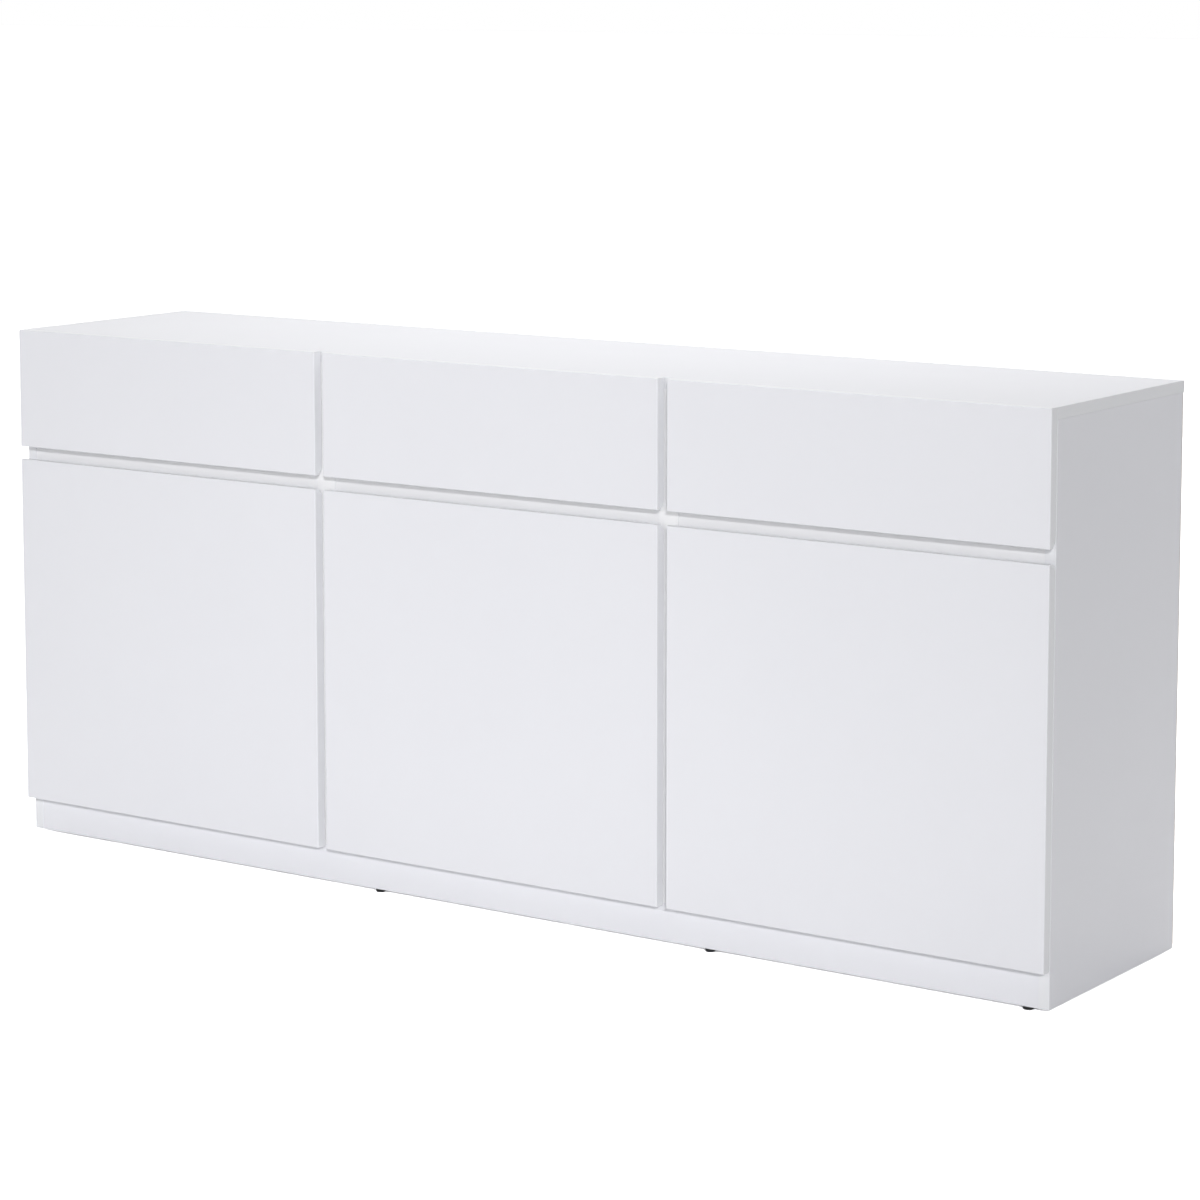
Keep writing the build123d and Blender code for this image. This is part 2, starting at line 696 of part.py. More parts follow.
def cup_shell(bay, z):
    """Pressed cup with its flange, and two lugs that hold the cup pin."""
    rim_y = DOOR_BACK + CUP_FLANGE
    floor_centre = hinge_point(bay, CUP_CENTRE, CUP_FLOOR_Y, z)
    rod([floor_centre], REARWARD, CUP_RADIUS, rim_y - CUP_FLOOR_Y)
    rod([hinge_point(bay, CUP_CENTRE, DOOR_BACK, z)], REARWARD, CUP_FLANGE_RADIUS, CUP_FLANGE)
    half_wing = CUP_FLANGE_LENGTH / 2
    hinge_slab(
        bay,
        (CUP_CENTRE - CUP_WING, DOOR_BACK, z - half_wing),
        (CUP_CENTRE + CUP_WING, rim_y, z + half_wing),
    )
    hinge_slab(
        bay,
        (0, DOOR_BACK, z - CUP_CUT_HEIGHT),
        (CUP_FLANGE_EDGE, rim_y, z + CUP_CUT_HEIGHT),
        Mode.SUBTRACT,
    )
    inside_depth = rim_y - CUP_FLOOR_Y - CUP_FLOOR
    drill([hinge_point(bay, CUP_CENTRE, rim_y, z)], FORWARD, CUP_INSIDE_RADIUS, inside_depth)


def cup_lugs(bay, z):
    """The two ears inside a cup, with the cup pin's holes."""
    past_x, past_y = CUP_LUG_PAST_PIN
    for near, far in (CUP_LUG, [-edge for edge in CUP_LUG]):
        hinge_slab(
            bay,
            (CUP_LUG_FROM, CUP_FLOOR_Y + CUP_FLOOR, z + near),
            (CUP_PIN[0] + past_x, CUP_PIN[1] + past_y, z + far),
        )


for bay, place in CABINETS.items():
    front_left, front_right = place["front"]

    with BuildPart() as door_panel:
        rounded_slab(
            (front_left, FRONT_Y, DOOR_BOTTOM),
            (front_right, FRONT_BACK_Y, DOOR_TOP),
            (Axis.Y, 0),
            FRONT_ROUNDING,
        )
        grip_edge = faces().sort_by(Axis.Y)[-1].edges().sort_by(Axis.Z)[-1]
        chamfer(grip_edge, length=GRIP_BEVEL)
        for z in HINGE_HEIGHTS:
            door_bores(bay, z)
    finish(door_panel, f"{bay}_door_panel")

    with BuildPart() as hinge_cups:
        for z in HINGE_HEIGHTS:
            cup_shell(bay, z)
            cup_lugs(bay, z)
            pin_low = hinge_point(bay, *CUP_PIN, z - CUP_LUG[1] - 1)
            drill([pin_low], UP, CUP_PIN_RADIUS + PIN_PLAY, 2 * CUP_LUG[1] + 2)
            for offset in (-CUP_SCREW_SPACING / 2, CUP_SCREW_SPACING / 2):
                mouth = hinge_point(bay, CUP_CENTRE, DOOR_BACK + CUP_FLANGE, z + offset)
                drill([mouth], FORWARD, CUP_SCREW_RADIUS + PIN_PLAY, CUP_FLANGE)
        for z in HINGE_HEIGHTS:
            for offset in (-CUP_SCREW_SPACING / 2, CUP_SCREW_SPACING / 2):
                mouth = hinge_point(bay, CUP_CENTRE, DOOR_BACK + CUP_FLANGE, z + offset)
                rod([mouth], FORWARD, CUP_SCREW_RADIUS, CUP_SCREW_LENGTH)
    finish(hinge_cups, f"{bay}_hinge_cups")

    with BuildPart() as hinge_links:
        for z in HINGE_HEIGHTS:
            low_z = z - LINK_WIDTH / 2
            with BuildSketch(Plane.XY.offset(low_z)):
                with BuildLine():
                    Polyline(
                        *[
                            hinge_point(bay, x, y, 0)[:2]
                            for x, y in (CUP_PIN, *LINK_BENDS, ARM_PIN)
                        ]
                    )
                trace(line_width=LINK_THICKNESS)
                with Locations(hinge_point(bay, *CUP_PIN, 0)[:2]):
                    Circle(CUP_EYE_RADIUS)
                    Circle(CUP_PIN_RADIUS + PIN_PLAY / 2, mode=Mode.SUBTRACT)
                with Locations(hinge_point(bay, *ARM_PIN, 0)[:2]):
                    Circle(ARM_EYE_RADIUS)
                    Circle(ARM_PIN_RADIUS + PIN_PLAY / 2, mode=Mode.SUBTRACT)
            extrude(amount=LINK_WIDTH)
            cup_pin_low = hinge_point(bay, *CUP_PIN, z - CUP_LUG[1])
            rod([cup_pin_low], UP, CUP_PIN_RADIUS, 2 * CUP_LUG[1])
            arm_pin_low = hinge_point(bay, *ARM_PIN, z - ARM_CHEEK[1])
            rod([arm_pin_low], UP, ARM_PIN_RADIUS, 2 * ARM_CHEEK[1])
    finish(hinge_links, f"{bay}_hinge_links")

with BuildPart() as hinge_arms:
    for bay in CABINETS:
        for z in HINGE_HEIGHTS:
            web_x = ARM_TOP - ARM_SHEET
            for near, far in (ARM_CHEEK, [-edge for edge in ARM_CHEEK]):
                hinge_slab(
                    bay, (ARM_CHEEK_FROM, ARM_PIN[1], z + near), (ARM_TOP, ARM_REAR, z + far)
                )
                eye_low = min(z + near, z + far)
                cheek = abs(far - near)
                rod([hinge_point(bay, *ARM_PIN, eye_low)], UP, ARM_NOSE_RADIUS, cheek)
            hinge_slab(
                bay,
                (web_x, ARM_PIN[1] + ARM_WEB_FROM, z - ARM_CHEEK[1]),
                (ARM_TOP, ARM_REAR, z + ARM_CHEEK[1]),
            )
            pin_low = hinge_point(bay, *ARM_PIN, z - ARM_CHEEK[1] - 1)
            drill([pin_low], UP, ARM_PIN_RADIUS + PIN_PLAY, 2 * ARM_CHEEK[1] + 2)
            inward = (hinge_frame(bay)[1], 0, 0)
            for y in ARM_SCREW_Y:
                web_mouth = hinge_point(bay, web_x, y, z)
                drill([web_mouth], inward, ARM_SCREW_RADIUS + PIN_PLAY, ARM_SHEET)
finish(hinge_arms, "hinge_arms")

with BuildPart() as hinge_mounting_plates:
    for bay in CABINETS:
        _, inward, board_step = hinge_frame(bay)
        plate_top = board_step + PLATE_THICKNESS
        half_spacing = PLATE_SCREW_SPACING / 2
        for z in HINGE_HEIGHTS:
            hinge_slab(
                bay,
                (board_step, PLATE_FROM, z - PLATE_HALF_WIDTH),
                (plate_top, ARM_REAR, z + PLATE_HALF_WIDTH),
            )
            hinge_slab(
                bay,
                (board_step, PLATE_SCREW_Y - PLATE_WING[0], z - half_spacing - PLATE_WING[1]),
                (plate_top, PLATE_SCREW_Y + PLATE_WING[0], z + half_spacing + PLATE_WING[1]),
            )
            hinge_slab(
                bay,
                (board_step, RIDER_FROM, z - RIDER_HALF_WIDTH),
                (ARM_TOP - ARM_SHEET, ARM_REAR - RIDER_END_GAP, z + RIDER_HALF_WIDTH),
            )
            for offset in (-half_spacing, half_spacing):
                mouth = hinge_point(bay, plate_top, PLATE_SCREW_Y, z + offset)
                drill([mouth], (-inward, 0, 0), PLATE_SCREW_RADIUS + PIN_PLAY, PLATE_THICKNESS)
            for y in ARM_SCREW_Y:
                mouth = hinge_point(bay, ARM_TOP, y, z)
                drill([mouth], (-inward, 0, 0), ARM_SCREW_RADIUS + PIN_PLAY, ARM_SCREW_LENGTH)
        for z in HINGE_HEIGHTS:
            for offset in (-half_spacing, half_spacing):
                head = hinge_point(bay, plate_top + HEAD_GAP, PLATE_SCREW_Y, z + offset)
                rod([head], (inward, 0, 0), 2 * PLATE_SCREW_RADIUS, SCREW_HEAD)
                rod([head], (-inward, 0, 0), PLATE_SCREW_RADIUS, PLATE_SCREW_LENGTH)
            for y in ARM_SCREW_Y:
                head = hinge_point(bay, ARM_TOP, y, z)
                rod([head], (inward, 0, 0), ARM_SCREW_HEAD_RADIUS, SCREW_HEAD)
                rod([head], (-inward, 0, 0), ARM_SCREW_RADIUS, ARM_SCREW_LENGTH - SCREW_HEAD)
finish(hinge_mounting_plates, "hinge_mounting_plates")
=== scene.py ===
"""Studio scene of the white sideboard: materials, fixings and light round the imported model."""

import math
from collections import namedtuple

import bmesh
import bpy
from mathutils import Matrix, Vector


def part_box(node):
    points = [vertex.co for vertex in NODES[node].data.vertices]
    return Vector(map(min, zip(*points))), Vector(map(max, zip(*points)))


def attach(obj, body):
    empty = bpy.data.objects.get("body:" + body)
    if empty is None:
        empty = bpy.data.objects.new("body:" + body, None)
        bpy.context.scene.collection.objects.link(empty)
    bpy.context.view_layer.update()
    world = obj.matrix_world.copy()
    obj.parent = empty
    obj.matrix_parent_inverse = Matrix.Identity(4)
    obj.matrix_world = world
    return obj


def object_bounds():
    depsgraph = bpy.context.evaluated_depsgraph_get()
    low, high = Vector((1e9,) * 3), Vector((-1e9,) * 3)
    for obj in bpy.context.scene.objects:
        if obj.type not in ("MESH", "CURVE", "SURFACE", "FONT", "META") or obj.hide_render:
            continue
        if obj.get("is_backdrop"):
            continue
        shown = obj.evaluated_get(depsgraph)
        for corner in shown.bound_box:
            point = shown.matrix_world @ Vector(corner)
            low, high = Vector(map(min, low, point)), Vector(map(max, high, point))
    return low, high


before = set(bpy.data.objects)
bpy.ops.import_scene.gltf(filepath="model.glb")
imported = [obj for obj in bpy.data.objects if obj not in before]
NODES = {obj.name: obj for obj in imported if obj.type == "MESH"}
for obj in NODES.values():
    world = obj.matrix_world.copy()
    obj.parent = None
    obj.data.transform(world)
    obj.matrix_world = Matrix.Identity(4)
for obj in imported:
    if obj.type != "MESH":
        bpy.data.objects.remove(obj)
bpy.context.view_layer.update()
BAYS = ("left", "middle", "right")
MM = 0.001

# ---------------------------------------------------------------- node helpers

# Places of the sockets of a Mix node that mixes colours.
MIX_SHARE, MIX_A, MIX_B, MIX_COLOUR = 0, 6, 7, 2


class Paint:
    """A material being wired: every call adds a node and returns its output socket."""

    def __init__(self, name):
        self.material = bpy.data.materials.new(name)
        self.material.use_nodes = True
        self.tree = self.material.node_tree
        self.shader = self.tree.nodes["Principled BSDF"]
        place = self.tree.nodes.new("ShaderNodeTexCoord")
        self.at, self.facing = place.outputs["Object"], place.outputs["Normal"]

    def add(self, kind, inputs, **settings):
        node = self.tree.nodes.new(kind)
        for key, value in settings.items():
            setattr(node, key, value)
        for key, value in inputs.items():
            self.plug(node.inputs[key], value)
        return node.outputs[0]

    def plug(self, socket, value):
        """Feeds a socket from another socket or sets it to a fixed value."""
        if isinstance(value, bpy.types.NodeSocket):
            self.tree.links.new(value, socket)
        else:
            socket.default_value = value

    def math(self, operation, a, b=0.0):
        return self.add("ShaderNodeMath", {0: a, 1: b}, operation=operation)

    def scaled(self, factors):
        """The place on the object, stretched along x, y and z."""
        return self.add("ShaderNodeVectorMath", {0: self.at, 1: factors}, operation="MULTIPLY")

    def noise(self, scale, detail, vector=None, rough=0.5):
        where = self.at if vector is None else vector
        return self.add(
            "ShaderNodeTexNoise",
            {"Vector": where, "Scale": scale, "Detail": detail, "Roughness": rough},
        )

    def ramp(self, value, low, high, out_low=0.0, out_high=1.0):
        """Stretches the range low..high of a value to out_low..out_high and cuts off the rest."""
        ends = {"From Min": low, "From Max": high, "To Min": out_low, "To Max": out_high}
        return self.add("ShaderNodeMapRange", {"Value": value, **ends})

    def blend(self, share, a, b):
        """Colour a where the share is 0 and colour b where it is 1."""
        node = self.tree.nodes.new("ShaderNodeMix")
        node.data_type = "RGBA"
        self.plug(node.inputs[MIX_SHARE], share)
        for socket, colour in ((MIX_A, a), (MIX_B, b)):
            plain = not isinstance(colour, bpy.types.NodeSocket)
            self.plug(node.inputs[socket], (*colour, 1.0) if plain else colour)
        return node.outputs[MIX_COLOUR]

    def split(self, vector):
        node = self.tree.nodes.new("ShaderNodeSeparateXYZ")
        self.tree.links.new(vector, node.inputs[0])
        return node.outputs

    def emboss(self, height, depth):
        return self.add("ShaderNodeBump", {"Height": height, "Distance": depth, "Strength": 1.0})

    def set(self, **sockets):
        """Feeds the shader's sockets, with _ for a space in their names, and returns the material."""
        for key, value in sockets.items():
            self.plug(self.shader.inputs[key.replace("_", " ")], value)
        return self.material


# ---------------------------------------------------------------- materials

FRONT_WHITE = ((0.818, 0.822, 0.862), (0.83, 0.834, 0.873))
# The rails get a brighter white than the fronts: painted light standing in for light that fills the
# recess between the drawer fronts and the doors.
RAIL_WHITE_WITH_PAINTED_LIGHT = ((0.875, 0.878, 0.895), (0.885, 0.888, 0.905))
CARCASS_WHITE = ((0.79, 0.80, 0.825), (0.808, 0.818, 0.842))
EDGE_WHITE = (0.835, 0.842, 0.868)
# The uprights' front edges get a brighter white than other edges: painted light for edges lit inside
# the recesses and the gaps between the fronts.
UPRIGHT_EDGE_PAINTED_LIGHT = (0.9, 0.902, 0.915)
CHIP_DARK, CHIP_LIGHT = (0.20, 0.12, 0.062), (0.52, 0.38, 0.235)
BAND_ROUGHER = 0.08
CHIP_ROUGHNESS = 0.9
CHIP_RELIEF = 8.0


def board_material(node, thin, whites, roughness, peel, border, edge):
    """White-faced chipboard: edge bands on the narrow faces and raw chips inside bores and grooves.

    thin is the axis of the thickness, peel the scale and depth of the skin's unevenness, and border
    how deep the white skin reaches from each side of the outline along x, y and z.
    """
    paint = Paint(f"{node}_board")
    low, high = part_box(node)
    normal = paint.split(paint.facing)
    place = paint.split(paint.at)
    band = paint.math("LESS_THAN", paint.math("ABSOLUTE", normal[thin]), 0.5)
    raw = None
    for axis in range(3):
        centre = (low[axis] + high[axis]) / 2
        reach = (high[axis] - low[axis]) / 2 - border[axis]
        off = paint.math("ABSOLUTE", paint.math("SUBTRACT", place[axis], centre))
        inside = paint.math("LESS_THAN", off, reach)
        raw = inside if raw is None else paint.math("MULTIPLY", raw, inside)
    drift = paint.ramp(paint.noise(2.3, 3.0), 0.3, 0.7)
    white = paint.blend(drift, *whites)
    white = paint.blend(band, white, edge)
    chips = paint.noise(420.0, 3.0, rough=0.65)
    wood = paint.blend(paint.ramp(chips, 0.35, 0.65), CHIP_DARK, CHIP_LIGHT)
    wiped = paint.noise(5.0, 1.0, paint.scaled((1.0, 1.0, 2.0)))
    rough = paint.ramp(wiped, 0.1, 0.9, roughness - 0.02, roughness + 0.03)
    rough = paint.math("ADD", rough, paint.math("MULTIPLY", band, BAND_ROUGHER))
    rough = paint.math("MAXIMUM", rough, paint.math("MULTIPLY", raw, CHIP_ROUGHNESS))
    skin = paint.noise(peel[0], 2.0)
    rubble = paint.math("MULTIPLY", paint.math("MULTIPLY", raw, chips), CHIP_RELIEF)
    relief = paint.math("ADD", skin, rubble)
    return paint.set(
        Base_Color=paint.blend(raw, white, wood),
        Roughness=rough,
        Normal=paint.emboss(relief, peel[1]),
    )


def hardboard_material(node, thin, facing):
    """Thin fibreboard, lacquered white on one face and bare brown on the other and at its edges."""
    paint = Paint(f"{node}_hardboard")
    normal = paint.split(paint.facing)
    white_side = paint.math("GREATER_THAN", paint.math("MULTIPLY", normal[thin], facing), 0.5)
    speckle = paint.noise(900.0, 3.0, rough=0.7)
    cloud = paint.noise(7.0, 4.0)
    brown = paint.blend(
        paint.math("MULTIPLY", paint.ramp(speckle, 0.3, 0.7), paint.ramp(cloud, 0.2, 0.8, 0.55, 1.0)),
        (0.165, 0.092, 0.047),
        (0.36, 0.225, 0.125),
    )
    white = paint.blend(paint.ramp(cloud, 0.3, 0.7), (0.76, 0.765, 0.78), (0.79, 0.795, 0.81))
    rough = paint.ramp(white_side, 0.0, 1.0, 0.82, 0.42)
    return paint.set(
        Base_Color=paint.blend(white_side, brown, white),
        Roughness=rough,
        Normal=paint.emboss(speckle, 0.00006),
    )


def metal_material(name, dark, light, rough, stroke, grain_depth):
    """Plated or cast metal: fine strokes, cloudy plating and slightly uneven gloss."""
    paint = Paint(name)
    strokes = paint.noise(60.0, 3.0, paint.scaled(stroke), rough=0.6)
    cloud = paint.noise(45.0, 4.0)
    paint.shader.inputs["Metallic"].default_value = 1.0
    return paint.set(
        Base_Color=paint.blend(paint.ramp(cloud, 0.3, 0.7), dark, light),
        Roughness=paint.ramp(strokes, 0.3, 0.7, rough - 0.06, rough + 0.08),
        Normal=paint.emboss(strokes, grain_depth),
    )


def plastic_material(name, dark, light, rough, **fixed):
    """Moulded plastic with a fine spark-eroded texture and faint flow marks."""
    paint = Paint(name)
    for key, value in fixed.items():
        paint.shader.inputs[key.replace("_", " ")].default_value = value
    flow = paint.noise(60.0, 3.0, paint.scaled((1.0, 1.0, 4.0)))
    return paint.set(
        Base_Color=paint.blend(paint.ramp(flow, 0.3, 0.7), dark, light),
        Roughness=paint.ramp(flow, 0.25, 0.75, rough - 0.05, rough + 0.05),
        Normal=paint.emboss(paint.noise(1600.0, 2.0), 0.00003),
    )


def beech_material(name):
    """Turned beech: long pores along the peg over a warm ground."""
    paint = Paint(name)
    grain = paint.noise(260.0, 4.0, paint.scaled((0.15, 1.0, 1.0)))
    pores = paint.noise(1500.0, 2.0, paint.scaled((0.08, 1.0, 1.0)))
    tone = paint.math("MULTIPLY", paint.ramp(grain, 0.3, 0.7), paint.ramp(pores, 0.2, 0.6, 0.6, 1.0))
    return paint.set(
        Base_Color=paint.blend(tone, (0.42, 0.25, 0.13), (0.72, 0.52, 0.33)),
        Roughness=paint.ramp(grain, 0.3, 0.7, 0.55, 0.7),
        Normal=paint.emboss(pores, 0.00005),
    )


def clothe(node, material):
    """The material is put in the object's own slots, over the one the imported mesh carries."""
    shape = NODES[node]
    for held in shape.material_slots:
        held.link = "OBJECT"
        held.material = material


# Colours, roughness and skin of each kind of board.
MELAMINE = (CARCASS_WHITE, 0.36, (1100.0, 0.000022))
LACQUER = (FRONT_WHITE, 0.30, (330.0, 0.000012))
FRONT_LACQUER = (FRONT_WHITE, 0.22, (330.0, 0.000012))
BAND_DEPTH, FACE_DEPTH = 0.6 * MM, 0.3 * MM
# A front's skin also covers its side rounding and its bevelled grip.
FRONT_BORDER = (1.8 * MM, 0.4 * MM, 8.6 * MM)


def skin_border(thin):
    """How deep the skin of a carcass board reaches along x, y and z."""
    border = [BAND_DEPTH] * 3
    border[thin] = FACE_DEPTH
    return tuple(border)


GLOSS_BOARDS = {"top_panel", "left_side_panel", "right_side_panel", "front_plinth"}
GLOSS_BOARDS.update(f"{bay}_rail" for bay in BAYS)
BOARD_AXIS = {"top_panel": 2, "left_side_panel": 0, "right_side_panel": 0}
BOARD_AXIS.update({n: 0 for n in NODES if n.endswith(("_inner_side", "_left_side", "_right_side"))})
BOARD_AXIS.update({n: 1 for n in NODES if n.endswith(("_plinth", "_rail", "_drawer_back"))})
BOARD_AXIS.update({n: 2 for n in NODES if n.endswith(("_base_panel", "_shelf"))})
for node, thin in BOARD_AXIS.items():
    whites, roughness, peel = LACQUER if node in GLOSS_BOARDS else MELAMINE
    # Painted light: the rails get the brighter white that stands in for light reaching into the recess.
    if node.endswith("_rail"):
        whites = RAIL_WHITE_WITH_PAINTED_LIGHT
    # The uprights' edges get the brighter edge white: painted light for edges seen in the recesses and
    # gaps.
    edge = UPRIGHT_EDGE_PAINTED_LIGHT if "cabinet" in node else EDGE_WHITE
    clothe(node, board_material(node, thin, whites, roughness, peel, skin_border(thin), edge))
for bay in BAYS:
    for node in (f"{bay}_drawer_front", f"{bay}_door_panel"):
        clothe(node, board_material(node, 1, *FRONT_LACQUER, FRONT_BORDER, EDGE_WHITE))
    clothe(f"{bay}_back_panel", hardboard_material(f"{bay}_back_panel", 1, -1.0))
    clothe(f"{bay}_drawer_bottom", hardboard_material(f"{bay}_drawer_bottom", 2, 1.0))

ZINC = metal_material(
    "zinc_plated_steel", (0.50, 0.53, 0.56), (0.64, 0.66, 0.69), 0.34, (1.0, 0.04, 1.0), 0.00001
)
NICKEL = metal_material(
    "nickel_plated_steel", (0.60, 0.585, 0.555), (0.72, 0.70, 0.67), 0.24, (1.0, 0.2, 1.0), 0.000006
)
CAST = metal_material(
    "zinc_alloy", (0.40, 0.41, 0.42), (0.56, 0.57, 0.58), 0.46, (1.0, 1.0, 1.0), 0.00004
)
BLACK = plastic_material("black_plastic", (0.012, 0.012, 0.013), (0.022, 0.022, 0.024), 0.48)
BEECH = beech_material("beech")
CAP_WHITE = plastic_material("cap_plastic", (0.76, 0.765, 0.775), (0.80, 0.805, 0.815), 0.38)
CLEAR = plastic_material(
    "clear_silicone", (0.80, 0.82, 0.83), (0.90, 0.91, 0.92), 0.22, IOR=1.41, Transmission_Weight=0.7
)
CAGE = metal_material(
    "cage_steel", (0.42, 0.43, 0.44), (0.55, 0.56, 0.57), 0.4, (1.0, 0.1, 1.0), 0.00002
)
BALL = metal_material(
    "ball_steel", (0.66, 0.67, 0.68), (0.74, 0.75, 0.76), 0.14, (1.0, 1.0, 1.0), 0.000002
)
MATERIAL_OF = {
    "slide_outer_members": ZINC,
    "cam_bolts": ZINC,
    "connector_bolts": NICKEL,
    "hinge_arms": NICKEL,
    "hinge_mounting_plates": NICKEL,
    "shelf_pins": ZINC,
    "cam_locks": CAST,
    "glide_feet": BLACK,
    "wood_dowels": BEECH,
}
for bay in BAYS:
    MATERIAL_OF[f"{bay}_slide_inner_members"] = ZINC
    MATERIAL_OF[f"{bay}_slide_middle_members"] = ZINC
    MATERIAL_OF[f"{bay}_hinge_cups"] = NICKEL
    MATERIAL_OF[f"{bay}_hinge_links"] = NICKEL
for node, material in MATERIAL_OF.items():
    clothe(node, material)

# ---------------------------------------------------------------- mesh helpers

SHARP_FROM = math.radians(38.0)


def aim(point, direction):
    """A frame at the point whose z axis runs along the direction; the point is in millimetres."""
    turn = Vector(direction).to_track_quat("Z", "Y").to_matrix().to_4x4()
    return Matrix.Translation(Vector(point) * MM) @ turn @ Matrix.Scale(MM, 4)


def lathe(mesh, profile, place, steps, sink=None):
    """Turns (radius, height) pairs in millimetres round the place's z axis.

    sink(step, radius) says how far a point is lowered.
    """
    rings = []
    for radius, height in profile:
        ring = []
        for step in range(steps if radius else 1):
            angle = math.tau * step / steps
            low = sink(step, radius) if sink else 0.0
            at = Vector((radius * math.cos(angle), radius * math.sin(angle), height - low))
            ring.append(mesh.verts.new(place @ at))
        rings.append(ring)
    for inner, outer in zip(rings, rings[1:]):
        for step in range(steps):
            follow = (step + 1) % steps
            corners = [inner[step % len(inner)], inner[follow % len(inner)]]
            corners += [outer[follow % len(outer)], outer[step % len(outer)]]
            mesh.faces.new(list(dict.fromkeys(corners)))


def bar(mesh, low, high, rounding):
    """A block between two corners in millimetres, with rounded edges."""
    size = Vector(high) - Vector(low)
    centre = (Vector(high) + Vector(low)) / 2
    place = Matrix.Translation(centre * MM) @ Matrix.Diagonal((*(size * MM), 1.0))
    made = bmesh.ops.create_cube(mesh, size=1.0, matrix=place)
    edges = {edge for vert in made["verts"] for edge in vert.link_edges}
    bmesh.ops.bevel(
        mesh, geom=list(edges), offset=rounding * MM, segments=3, profile=0.5, affect="EDGES"
    )


def make(name, mesh, body, material):
    """Turns a mesh into a smooth-shaded piece that rides on a body; the slot may be None."""
    bmesh.ops.recalc_face_normals(mesh, faces=mesh.faces[:])
    data = bpy.data.meshes.new(name)
    mesh.to_mesh(data)
    mesh.free()
    data.polygons.foreach_set("use_smooth", [True] * len(data.polygons))
    data.set_sharp_from_angle(angle=SHARP_FROM)
    data.materials.append(material)
    made = bpy.data.objects.new(name, data)
    bpy.context.scene.collection.objects.link(made)
    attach(made, body)


# ---------------------------------------------------------------- small fixings

# Sizes in this section are in millimetres.
REAR, UPWARD = (0, 1, 0), (0, 0, 1)
CAM_FROM_END = 24.0
SHELF_PLAY = 1.0  # between an end of a shelf and the upright beside it
HINGE_SIDE = {"left": -1, "middle": -1, "right": 1}


def across(node):
    """A CAD node's lowest and highest corner."""
    low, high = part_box(node)
    return low / MM, high / MM


def uprights_of(bay):
    """The inner faces of a cabinet's uprights, each with the direction from it into the cabinet."""
    low, high = across(f"{bay}_shelf")
    return (low.x - SHELF_PLAY, 1), (high.x + SHELF_PLAY, -1)


def spread(start, end, gap):
    """Evenly spaced values from start to end, no further apart than the gap."""
    count = max(1, math.ceil((end - start) / gap))
    return [start + (end - start) * i / count for i in range(count + 1)]


# Nails that hold the thin backs to the uprights, the base panels and the rear plinth.
NAIL_SHANK = ((0.7, 0.0), (0.6, -6.0), (0.0, -7.5))
NAIL = ((0.0, 0.85), (0.9, 0.8), (1.8, 0.6), (2.5, 0.28), (2.75, 0.0), *NAIL_SHANK)
NAIL_FROM_SIDE, NAIL_FROM_TOP, PLINTH_NAIL_UP = 7.0, 14.0, 15.0
NAIL_GAP = 105.0

nails = bmesh.new()
for bay in BAYS:
    low, high = across(f"{bay}_back_panel")
    base_low, base_high = across(f"{bay}_base_panel")
    base_mid = (base_low.z + base_high.z) / 2
    left_row, right_row = low.x + NAIL_FROM_SIDE, high.x - NAIL_FROM_SIDE
    for x in (left_row, right_row):
        for z in spread(base_mid, high.z - NAIL_FROM_TOP, NAIL_GAP):
            lathe(nails, NAIL, aim((x, high.y, z), REAR), 16)
    for x in spread(left_row, right_row, NAIL_GAP)[1:-1]:
        for z in (base_mid, low.z + PLINTH_NAIL_UP):
            lathe(nails, NAIL, aim((x, high.y, z), REAR), 16)
make("back_panel_nails", nails, "carcass", ZINC)

# Caps over the cam fittings inside the cabinets, under the top and beside the rails.
COVER_CAP = ((0.0, 0.9), (5.5, 0.85), (7.6, 0.65), (8.4, 0.3), (8.5, 0.0), (0.0, 0.0))
TOP_CAM_Y = (-120.0, 140.0)
RAIL_CAM_DOWN = 16.0


def cover_cap(mesh, point, direction):
    """A round cap whose rim lies on a board at the point."""
    lathe(mesh, COVER_CAP, aim(point, direction), 32)


caps = bmesh.new()
for bay in BAYS:
    top_low, _ = across("top_panel")
    for face, inward in uprights_of(bay):
        for y in TOP_CAM_Y:
            cover_cap(caps, (face, y, top_low.z - CAM_FROM_END), (inward, 0, 0))
    rail_low, rail_high = across(f"{bay}_rail")
    for x in (rail_low.x + CAM_FROM_END, rail_high.x - CAM_FROM_END):
        cover_cap(caps, (x, rail_high.y, rail_high.z - RAIL_CAM_DOWN), REAR)
make("carcass_cam_caps", caps, "carcass", CAP_WHITE)

# Clear bumpers at the free corners of the doors and behind the corners of the drawer fronts.
BUMPER = ((0.0, 1.3), (1.2, 1.25), (2.4, 1.0), (3.2, 0.6), (3.7, 0.2), (3.8, 0.0), (0.0, 0.0))
BUMPER_FROM_SIDE = 5.0
DOOR_BUMPER_UP, DOOR_BUMPER_DOWN = 12.0, 22.0
DRAWER_BUMPER_UP, DRAWER_BUMPER_DOWN = 16.0, 30.0


def add_door_bumpers(bay):
    """Two bumpers along the edge away from the hinges."""
    low, high = across(f"{bay}_door_panel")
    free_x = high.x - BUMPER_FROM_SIDE if HINGE_SIDE[bay] < 0 else low.x + BUMPER_FROM_SIDE
    bumpers = bmesh.new()
    for z in (low.z + DOOR_BUMPER_UP, high.z - DOOR_BUMPER_DOWN):
        lathe(bumpers, BUMPER, aim((free_x, high.y, z), REAR), 24)
    make(f"{bay}_door_bumpers", bumpers, f"{bay}_door", CLEAR)


